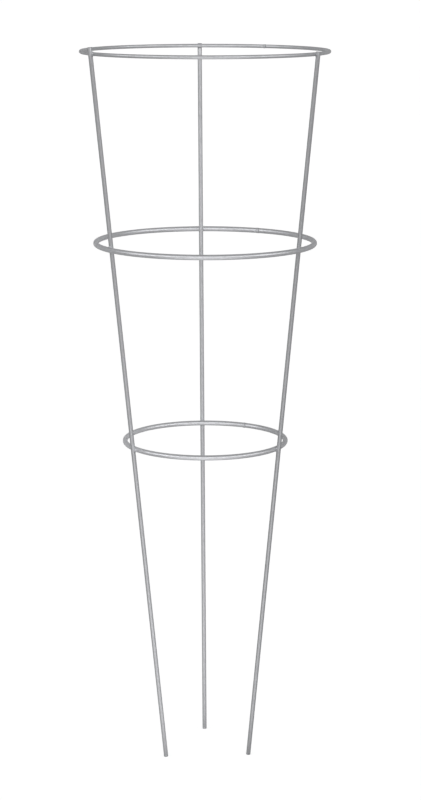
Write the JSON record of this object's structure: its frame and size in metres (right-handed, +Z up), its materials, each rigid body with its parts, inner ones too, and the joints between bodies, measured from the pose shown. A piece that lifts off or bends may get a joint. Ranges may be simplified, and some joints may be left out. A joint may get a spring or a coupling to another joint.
{
  "type": "plant support cage",
  "caption": "Tapering welded wire cage with level hoops on leaning straight legs that holds up a climbing plant.",
  "frame": {"origin": "middle of the bounding box at the ground, under the cut feet", "axes": "+Z up along the cage, front of the cage towards -Y, +X to the right seen from the front"},
  "size_m": [0.3634, 0.368, 1.0653],
  "materials": {
    "galvanised_wire": "galvanised, satin",
    "weld_bead": "galvanised weld metal, matt"
  },
  "bodies": {
    "root": {"leg_front_left": "galvanised_wire", "leg_front_right": "galvanised_wire", "leg_rear": "galvanised_wire", "ring_top": "galvanised_wire", "ring_middle": "galvanised_wire", "ring_lower": "galvanised_wire", "weld_top_left": "weld_bead", "weld_top_right": "weld_bead", "weld_top_rear": "weld_bead", "weld_middle_left": "weld_bead", "weld_middle_right": "weld_bead", "weld_middle_rear": "weld_bead", "weld_lower_left": "weld_bead", "weld_lower_right": "weld_bead", "weld_lower_rear": "weld_bead", "butt_weld_top": "weld_bead", "butt_weld_middle": "weld_bead", "butt_weld_lower": "weld_bead"}
  },
  "joints": []
}
